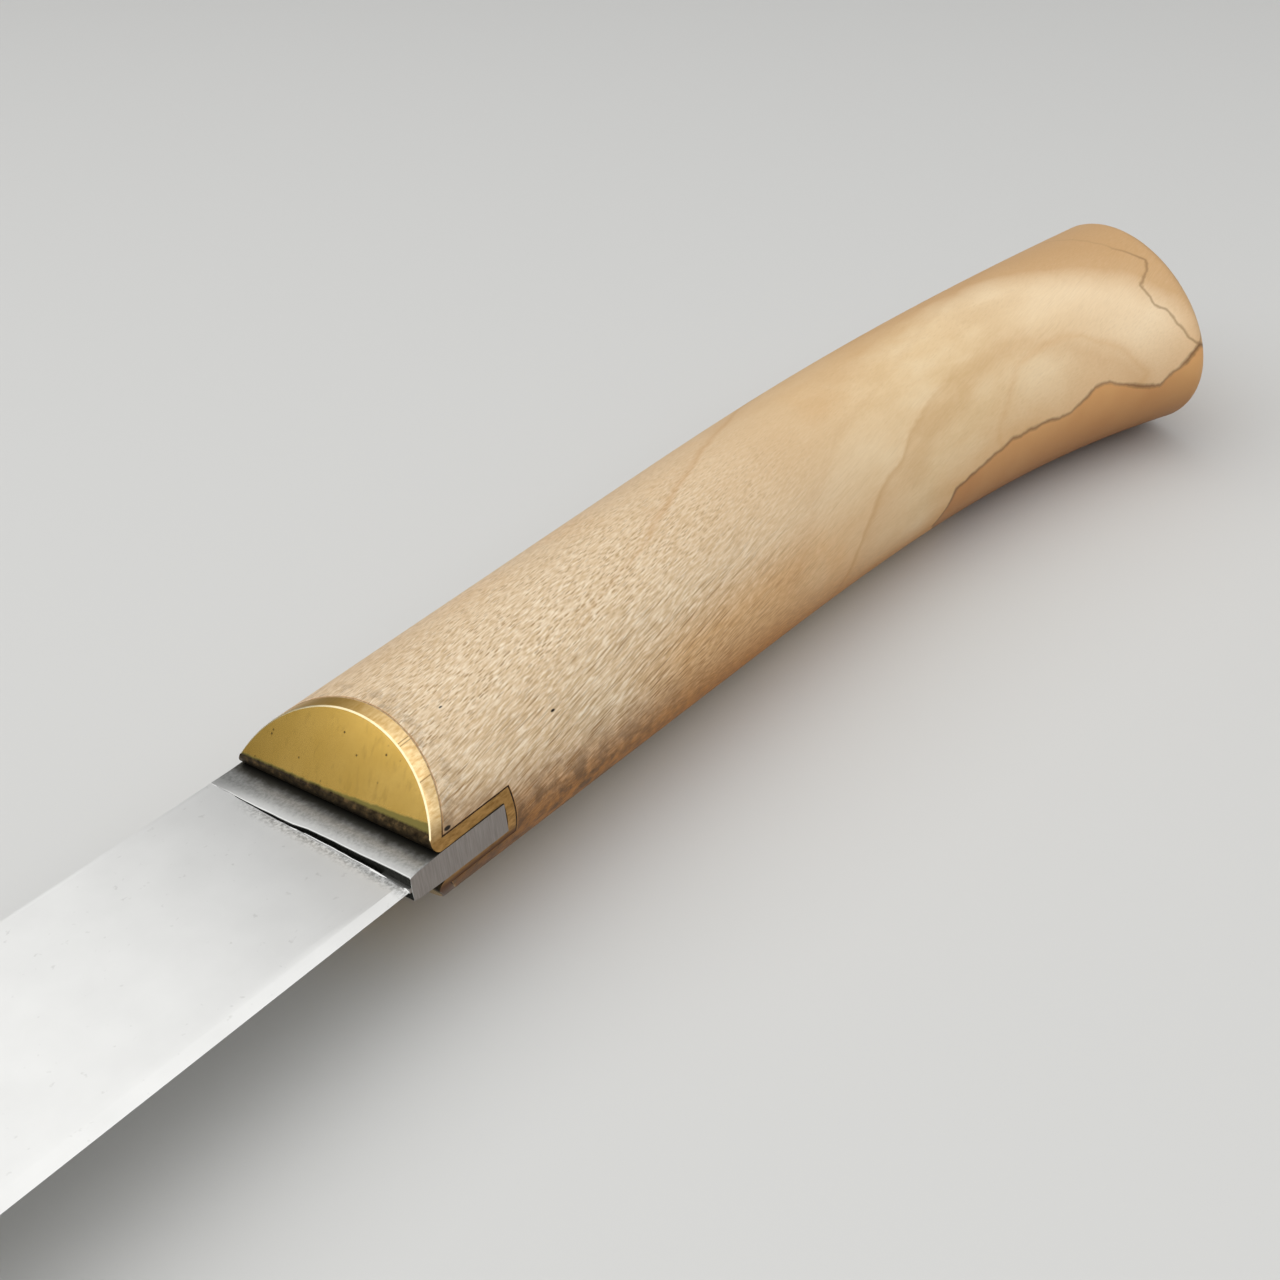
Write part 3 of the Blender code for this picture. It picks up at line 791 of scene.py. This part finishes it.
outlines = {
    "brown_patch": BROWN_PATCH, "rim_patch": RIM_PATCH, "outer_ring": OUTER_RING, "inner_ring": INNER_RING
}
for name, outline in outlines.items():
    layer = handle_shape.verts.layers.float.new(name)
    flat = [Vector((along, GIRTH_PER_DEGREE * angle)) for along, angle in outline]
    for i, vert in enumerate(handle_shape.verts):
        along = stations[i // OVAL_POINTS]
        unrolled = Vector((along, GIRTH_PER_DEGREE * 360 * (i % OVAL_POINTS) / OVAL_POINTS))
        vert[layer] = depth_inside(unrolled, flat) if along > RINGS_START else FAR_OUTSIDE
layer = handle_shape.verts.layers.float.new("growth")
for i, vert in enumerate(handle_shape.verts):
    angle = 360 * (i % OVAL_POINTS) / OVAL_POINTS
    vert[layer] = stations[i // OVAL_POINTS] - along_line(angle, SLANTING_LINE)

front = -PRISM_REACH
nose = prism([(front, wood_line[0][1])] + wood_line + [(front, wood_line[-1][1])])
handle_shape = combine(handle_shape, "DIFFERENCE", nose)
up = BORE_HEIGHT / 2
out = BORE_THICKNESS / 2
bore = block((WOOD_STOP - CUT_PAST, -up, -out), (BORE_END, up, out))
handle_shape = combine(handle_shape, "DIFFERENCE", bore)

# Spalted hardwood, sanded and oiled: pale tan with short pores in the front half, cream behind, where
# soft growth bands show, browner round the edge side, where hands darkened it and painted shade stands
# for its shaded underside, with a brown patch under the butt behind a dark zone line. Painted shade also
# darkens it towards the spine. Pores and fibres are drawn about 0.2 mm wide, more than real, to show.
FIBRE_WIDTH = 0.18
STROKE_LENGTH = 1.15
PORE_WIDTH = 0.19
PORE_LENGTH = 1.1
GROOVE_LENGTH = 4.0
GRAIN_RISE = math.radians(9)  # the grain runs out at a slant
GRAIN_DRIFT = (0, 0.5, 0.5)
spalted_wood, add, shader, place = start_material("spalted hardwood, sanded and oiled")
to_butt, to_spine, to_left = add("SeparateXYZ", {"Vector": place}).outputs
drift = add("TexNoise", {"Vector": place, "Scale": 1 / 8, "Detail": 1})
slanted = add("Mapping", {"Vector": place, "Rotation": (0, GRAIN_RISE, -GRAIN_RISE / 2)})
grain = add("VectorMath", {
    0: drift.outputs["Color"], 1: GRAIN_DRIFT, 2: slanted
}, operation="MULTIPLY_ADD")
fibres = add("Mapping", {"Vector": grain, "Scale": (1 / STROKE_LENGTH, 1 / FIBRE_WIDTH, 1 / FIBRE_WIDTH)})
strokes = add("TexNoise", {"Vector": fibres, "Scale": 1, "Detail": 2})
toward_front = add("MapRange", {
    "Value": to_butt, "From Min": 46, "From Max": 86, "To Min": 1, "To Max": 0.06
}, interpolation_type="SMOOTHSTEP")
below_ridge = add("MapRange", {
    "Value": to_spine, "From Min": 8, "From Max": -4, "To Min": 0.55, "To Max": 1
})
low_side = add("MapRange", {
    "Value": to_spine, "From Min": -6, "From Max": -10.5
}, interpolation_type="SMOOTHSTEP")
open_front = add("MapRange", {
    "Value": to_butt, "From Min": 26, "From Max": 68, "To Min": 1, "To Max": 0.1
}, interpolation_type="SMOOTHSTEP")
open_grain = add("Math", {0: open_front, 1: below_ridge}, operation="MULTIPLY")
dashes = []
for length, width, reach in ((PORE_LENGTH, PORE_WIDTH, 0.45), (GROOVE_LENGTH, FIBRE_WIDTH, 0.58)):
    drawn_out = add("Mapping", {"Vector": grain, "Scale": (1 / length, 1 / width, 1 / width)})
    gap, shade = add("TexVoronoi", {"Vector": drawn_out, "Scale": 1}).outputs[:2]
    dashes.append(add("MapRange", {"Value": gap, "From Min": reach, "From Max": 0.3, "To Max": shade}))
pores = add("Mix", {"Factor": low_side, "A": dashes[0], "B": dashes[1]})
cloud = add("TexNoise", {"Vector": place, "Scale": 1 / 11, "Detail": 3})
streaked = add("Mapping", {"Vector": place, "Scale": (1 / 9, 1 / 4, 1 / 4)})
blotches = add("TexNoise", {"Vector": streaked, "Scale": 1, "Detail": 4})
pale = add("ValToRGB", {"Fac": blotches}, ((0.35, "#debd8c"), (0.5, "#e8ca9c"), (0.65, "#eed4aa")))
tan = add("ValToRGB", {"Fac": cloud}, ((0.3, "#d5b892"), (0.55, "#dfc5a1"), (0.7, "#dfbc90")))
at_butt = add("MapRange", {"Value": to_butt, "From Min": 88, "From Max": 112, "To Max": 0.7})
# Painted shade: the wood is painted darker towards the spine, for the shading along the ridge.
ridge_shade = add("MapRange", {"Value": to_spine, "From Min": 0, "From Max": 9, "To Max": 0.4})

# The rings: soft bands round the ovals, a thin brown line where the outer one ends, and slanting lines
# that fade out in the open grain.
swirl = add("TexNoise", {"Vector": place, "Scale": 1 / 5, "Detail": 3})
outer = ragged_depth(add, swirl, 2.4, "outer_ring")
inner = ragged_depth(add, swirl, 1.6, "inner_ring")
outer_reach = add("MapRange", {"Value": outer, "From Min": -14, "From Max": 6})
outer_band = add("ValToRGB", {"Fac": outer_reach}, (
    (0.0, "#f0f0f0"), (0.2, "#e4e4e4"), (0.27, "#b8b8b8"), (0.34, "#8a8a8a"), (0.41, "#404040"),
    (0.45, "#000000"), (0.54, "#303030"), (0.72, "#000000"), (0.87, "#949494"), (0.95, "#646464"),
    (1.0, "#303030"),
))
inner_reach = add("MapRange", {"Value": inner, "From Min": -3, "From Max": 4})
inner_band = add("ValToRGB", {"Fac": inner_reach}, (
    (0.0, "#000000"), (0.4, "#505050"), (0.52, "#8c8c8c"), (0.62, "#404040"), (0.85, "#000000")
))
near_butt = add("MapRange", {
    "Value": to_butt, "From Min": 58, "From Max": 104, "To Min": 0.2, "To Max": 1
}, interpolation_type="SMOOTHSTEP")
outer_shade = add("Math", {0: outer_band, 1: near_butt}, operation="MULTIPLY")
slant = ragged_depth(add, swirl, 5, "growth")
slant_reach = add("MapRange", {"Value": slant, "From Min": -5, "From Max": 50})
slant_line = add("ValToRGB", {"Fac": slant_reach}, (
    (0.02, "#000000"), (0.1, "#545454"), (0.132, "#a4a4a4"), (0.16, "#000000"), (0.86, "#000000"),
    (0.905, "#585858"), (0.94, "#000000"),
))
edge_reach = add("MapRange", {"Value": outer, "From Min": 0, "From Max": 8})
growth_edge = add("ValToRGB", {"Fac": edge_reach}, (
    (0.1, "#000000"), (0.16, "#a8a8a8"), (0.26, "#606060"), (1.0, "#000000")
))
before_butt = add("MapRange", {"Value": to_butt, "From Min": 90, "From Max": 76})
growth_line = add("Math", {0: growth_edge, 1: before_butt}, operation="MULTIPLY")
behind_grain = add("MapRange", {"Value": to_butt, "From Min": 22, "From Max": 44})
faded_line = add("Math", {0: slant_line, 1: behind_grain}, operation="MULTIPLY")
ring_lines = add("Math", {0: faded_line, 1: growth_line}, operation="MAXIMUM")

# The open grain over them: light and dark strokes, pores, and longer lines on the low side.
stroke_tone = add("ValToRGB", {"Fac": strokes}, ((0.3, "#c8ac84"), (0.5, "#e1caa9"), (0.7, "#f8ead2")))
stroked = add("Math", {0: open_grain, 1: 0.8}, operation="MULTIPLY")
pored = add("Math", {0: open_grain, 1: pores}, operation="MULTIPLY")

# Handling has left the edge side golden, and brown further down, where the brown is also painted shade on
# the underside; the front is grimy, with painted shade below the frame, and there is dirt by the rim.
lowered = add("Math", {0: to_butt, 1: 0.1, 2: to_left}, operation="MULTIPLY_ADD")
handled_and_shaded = add("MapRange", {
    "Value": lowered, "From Min": 5.7, "From Max": -1.9, "To Max": 0.95
}, interpolation_type="SMOOTHSTEP")
# Painted shade: worn is the low, turned-down side, browned partly by hands and partly as painted shade.
worn = add("Math", {0: handled_and_shaded, 1: low_side}, operation="MULTIPLY")
hand_and_shade_brown = add("ValToRGB", {"Fac": strokes}, ((0.35, "#9a611e"), (0.65, "#be7d2e")))
turned_under = add("MapRange", {"Value": to_left, "From Min": 5.8, "From Max": 2.2})
along_handle = add("MapRange", {"Value": to_butt, "From Min": 20, "From Max": 90})
mid_handle = add("ValToRGB", {"Fac": along_handle}, (
    (0.05, "#000000"), (0.2, "#ffffff"), (0.42, "#ffffff"), (0.78, "#000000")
))
side_gold = add("Math", {0: turned_under, 1: mid_handle}, operation="MULTIPLY")
gold = add("Math", {0: side_gold, 1: low_side}, operation="MULTIPLY")
grime = add("TexNoise", {"Vector": place, "Scale": 1 / 1.6, "Detail": 5, "Roughness": 0.65})
grimy_front = add("MapRange", {"Value": to_butt, "From Min": 45, "From Max": 20, "To Max": 0.9})
grime_spots = add("MapRange", {"Value": grime, "From Min": 0.4, "From Max": 0.6})
grimy_low = add("Math", {0: grimy_front, 1: worn}, operation="MULTIPLY")
grimy = add("Math", {0: grime_spots, 1: grimy_low}, operation="MULTIPLY")
# Painted shade: the front below the brass frame is painted darker still on that side.
below_frame = add("MapRange", {"Value": to_butt, "From Min": 16, "From Max": 2, "To Max": 0.75})
painted_front_shade = add("Math", {0: below_frame, 1: worn}, operation="MULTIPLY")
height = add("Math", {0: to_left}, operation="ABSOLUTE")
from_flange = add("Math", {
    0: height, 1: -flange_out.y, 2: flange_out.dot(wood_inner)
}, operation="MULTIPLY_ADD")
behind_rim = add("Math", {0: to_butt, 1: -flange_out.x, 2: from_flange}, operation="MULTIPLY_ADD")
near_rim = add("MapRange", {"Value": behind_rim, "From Min": 3, "From Max": 0, "To Max": 0.6})
dust = add("MapRange", {"Value": grime, "From Min": 0.48, "From Max": 0.66})
rim_dirt = add("Math", {0: near_rim, 1: dust}, operation="MULTIPLY")

# End grain on the butt: growth rings round the heart of the tree, off to one side, and the ends of pores.
HEART = (0, 24, -20)
RING_WIDTH = 1.9
facing = add("SeparateXYZ", {"Vector": add("NewGeometry", {}).outputs["Normal"]})
end_face = add("MapRange", {"Value": facing.outputs["X"], "From Min": 0.75, "From Max": 0.95})
from_heart = add("Mapping", {"Vector": place, "Location": -Vector(HEART)})
year_rings = add("TexWave", {
    "Vector": from_heart,
    "Scale": math.pi / 10 / RING_WIDTH,
    "Distortion": 3.5,
    "Detail": 3,
    "Detail Scale": 0.5,
}, wave_type="RINGS", rings_direction="X")
tubes = add("Mapping", {"Vector": place, "Scale": (1 / 9, 1 / 0.6, 1 / 0.6)})
end_pores = add("TexVoronoi", {"Vector": tubes, "Scale": 1})
end_dots = add("MapRange", {"Value": end_pores, "From Min": 0.26, "From Max": 0.12, "To Max": 0.5})
late_wood = add("MapRange", {"Value": year_rings, "From Min": 0.6, "From Max": 1, "To Max": 0.4})
end_marks = add("Math", {0: end_dots, 1: late_wood}, operation="MAXIMUM")
end_shade = add("Math", {0: end_marks, 1: end_face}, operation="MULTIPLY")

# The brown patch, its zone line, which swells and thins, and the fainter line at the rim.
wiggle = add("TexNoise", {"Vector": place, "Scale": 1 / 1.6, "Detail": 3})
swell = add("TexNoise", {"Vector": place, "Scale": 1 / 7, "Detail": 1})
patch_depth = ragged_depth(add, wiggle, 0.9, "brown_patch")
in_patch = add("MapRange", {"Value": patch_depth, "From Min": 0.25, "From Max": 0.75})
# The patch is painted darker where it turns down: partly its own deeper brown, partly painted shade.
turned_down = add("MapRange", {"Value": to_left, "From Min": 1, "From Max": -8, "To Max": 0.8})
fresh_brown = add("ValToRGB", {"Fac": cloud}, ((0.3, "#d0945a"), (0.7, "#dfab70")))
brown = add("Mix", {"Factor": turned_down, "A": fresh_brown, "B": "#8f6038"}, data_type="RGBA")
beside_patch = add("MapRange", {"Value": patch_depth, "From Min": -6, "From Max": 0, "To Max": 0.4})
past_line = add("Math", {0: patch_depth, 1: 0.45}, operation="SUBTRACT")
from_line = add("Math", {0: past_line}, operation="ABSOLUTE")
line_reach = add("Math", {0: swell, 1: -0.5, 2: from_line}, operation="MULTIPLY_ADD")
zone_line = add("MapRange", {"Value": line_reach, "From Min": 0.18, "From Max": -0.3, "To Max": 0.78})
sliver_depth = ragged_depth(add, wiggle, 0.8, "rim_patch")
past_sliver = add("Math", {0: sliver_depth, 1: 0.4}, operation="SUBTRACT")
from_sliver = add("Math", {0: past_sliver}, operation="ABSOLUTE")
sliver_line = add("MapRange", {"Value": from_sliver, "From Min": 0.3, "From Max": 0.05, "To Max": 0.55})
off_ridge = add("MapRange", {
    "Value": to_spine, "From Min": -9, "From Max": -14, "To Min": 0.25, "To Max": 1
})
sliver_shade = add("Math", {0: sliver_line, 1: off_ridge}, operation="MULTIPLY")

# All of them laid on the pale wood in turn. The gold is a tint, which darkens what is under it.
wood_colour = pale
for share, coat in (
    (at_butt, "#fbe2be"), (toward_front, tan), (ridge_shade, "#c39c6f"), (outer_shade, "#c79962"),
    (inner_band, "#cf9b5a"), (stroked, stroke_tone), (pored, "#a3845c"), (ring_lines, "#bd8c52"),
):
    wood_colour = add("Mix", {"Factor": share, "A": wood_colour, "B": coat}, data_type="RGBA")
tint = {"Factor": gold, "A": wood_colour, "B": "#f6e2c8"}
wood_colour = add("Mix", tint, data_type="RGBA", blend_type="MULTIPLY")
for share, coat in (
    (worn, hand_and_shade_brown), (grimy, "#594128"), (painted_front_shade, "#5f3f24"), (rim_dirt, "#7d664a"),
    (end_shade, "#9a6f41"), (beside_patch, "#d39d5e"), (in_patch, brown), (zone_line, "#6a4524"),
    (sliver_shade, "#85633c"),
):
    wood_colour = add("Mix", {"Factor": share, "A": wood_colour, "B": coat}, data_type="RGBA")

# A pit beside the brass frame and two specks, each as a middle and a radius, drawn out along the grain.
SPOTS = (((1.68, -11.97, 2.71), 0.22), ((9.0, -5.2, 8.2), 0.11), ((17.1, -10.5, 5.0), 0.15))
SPOT_SHAPE = (0.45, 1, 1)
for spot_middle, radius in SPOTS:
    away = add("Mapping", {"Vector": place, "Location": -Vector(spot_middle)})
    rounded = add("VectorMath", {0: away, 1: SPOT_SHAPE}, operation="MULTIPLY")
    reach = add("VectorMath", {0: rounded}, operation="LENGTH").outputs["Value"]
    spot = add("MapRange", {"Value": reach, "From Min": radius, "From Max": radius * 0.6})
    wood_colour = add("Mix", {"Factor": spot, "A": wood_colour, "B": "#231910"}, data_type="RGBA")
relief = add("Math", {0: strokes, 1: pores}, operation="SUBTRACT")
open_relief = add("Math", {0: relief, 1: open_grain}, operation="MULTIPLY")
feed(shader, {
    "Base Color": wood_colour,
    "Roughness": add("MapRange", {"Value": strokes, "To Min": 0.44, "To Max": 0.56}),
    "IOR": 1.45,
    "Specular IOR Level": 0.3,
    "Normal": add("Bump", {"Strength": 0.3, "Distance": 0.04 * MILLIMETRE, "Height": open_relief}),
})
handle = settle(handle_shape, "wooden_handle", (spalted_wood,))
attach(handle, "root")
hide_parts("handle")

# Tang bedding. The epoxy that fills the handle's bore round the stick tang, out of sight inside the wood.
bore_epoxy, add, shader, place = start_material("epoxy, poured and cured")
haze = add("TexNoise", {"Vector": place, "Scale": 1 / 3, "Detail": 3})
feed(shader, {
    "Base Color": add("ValToRGB", {"Fac": haze}, ((0.3, "#5d4a2e"), (0.7, "#77603c"))),
    "Roughness": 0.4,
    "IOR": 1.55,
})
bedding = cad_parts["tang_bedding"]
bedding.data.materials.clear()
bedding.data.materials.append(bore_epoxy)

# Studio. A plain pale floor, a large soft panel overhead, three smaller ones round it and a dim even room.
# The camera stands where the photograph's did: beside the blade, above it, and turned a little.
FLOOR_SIZE = 12.0
ROOM_LIGHT = 0.24
floor_shape = bmesh.new()
bmesh.ops.create_grid(floor_shape, x_segments=2, y_segments=2, size=FLOOR_SIZE / 2)
floor_mesh = bpy.data.meshes.new("floor")
floor_shape.to_mesh(floor_mesh)
floor_shape.free()
floor = bpy.data.objects.new("floor", floor_mesh)
bpy.context.scene.collection.objects.link(floor)
paper, _, shader, _ = start_material("matt paper")
feed(shader, {"Base Color": "#d4d4d2", "Roughness": 0.9})
floor_mesh.materials.append(paper)

room = bpy.data.worlds.new("room")
room.use_nodes = True
feed(room.node_tree.nodes["Background"], {"Color": "#ffffff", "Strength": ROOM_LIGHT})
bpy.context.scene.world = room


def add_panel(name, place, aim, width, depth, radiance):
    """A soft rectangular light of even brightness, turned to shine from its place to its aim."""
    lamp = bpy.data.lights.new(name, "AREA")
    lamp.shape = "RECTANGLE"
    lamp.size = width
    lamp.size_y = depth
    lamp.energy = radiance * math.pi * width * depth
    panel = bpy.data.objects.new(name, lamp)
    panel.location = place
    panel.rotation_euler = (Vector(aim) - Vector(place)).to_track_quat("-Z", "Y").to_euler()
    bpy.context.scene.collection.objects.link(panel)


add_panel("overhead panel", (-0.234, -0.02, 0.60), (-0.234, -0.02, 0), 1.232, 1.92, 1.15)
add_panel("front panel", (-0.90, -0.45, 0.50), (0.05, 0, 0.02), 0.7, 0.6, 0.85)
add_panel("side panel", (-0.75, 0.55, 0.36), (0, 0, 0.02), 0.8, 0.5, 0.3)
add_panel("fill panel", (0.63, -0.66, 0.43), (0, 0, 0.02), 0.5, 0.5, 0.8)

IMAGE_SIDE = 1280
SENSOR = 36.0
FOCAL_PIXELS = 1900
CAMERA_AZIMUTH = math.radians(-47.46)
CAMERA_ELEVATION = math.radians(31.47)
CAMERA_ROLL = math.radians(-6.56)
CAMERA_DISTANCE = 164.66 * MILLIMETRE
FOLD_PIXEL = Vector((340.1, 818.36))  # where the middle of the fold line shows
backward = Vector((
    math.sin(CAMERA_AZIMUTH) * math.cos(CAMERA_ELEVATION),
    -math.cos(CAMERA_AZIMUTH) * math.cos(CAMERA_ELEVATION),
    math.sin(CAMERA_ELEVATION),
))
level = Vector((0, 0, 1)).cross(backward).normalized()
upright = backward.cross(level)
right = level * math.cos(CAMERA_ROLL) + upright * math.sin(CAMERA_ROLL)
above = upright * math.cos(CAMERA_ROLL) - level * math.sin(CAMERA_ROLL)
off_centre = (FOLD_PIXEL - Vector((IMAGE_SIDE / 2, IMAGE_SIDE / 2))) * CAMERA_DISTANCE / FOCAL_PIXELS
eye = fold_line + backward * CAMERA_DISTANCE - right * off_centre.x + above * off_centre.y
lens = bpy.data.cameras.new("camera")
lens.sensor_width = SENSOR
lens.lens = FOCAL_PIXELS * SENSOR / IMAGE_SIDE
lens.clip_start = 0.005
camera = bpy.data.objects.new("camera", lens)
camera.matrix_world = Matrix.Translation(eye) @ Matrix((right, above, backward)).transposed().to_4x4()
bpy.context.scene.collection.objects.link(camera)
bpy.context.scene.camera = camera
bpy.context.scene.view_settings.view_transform = "Standard"
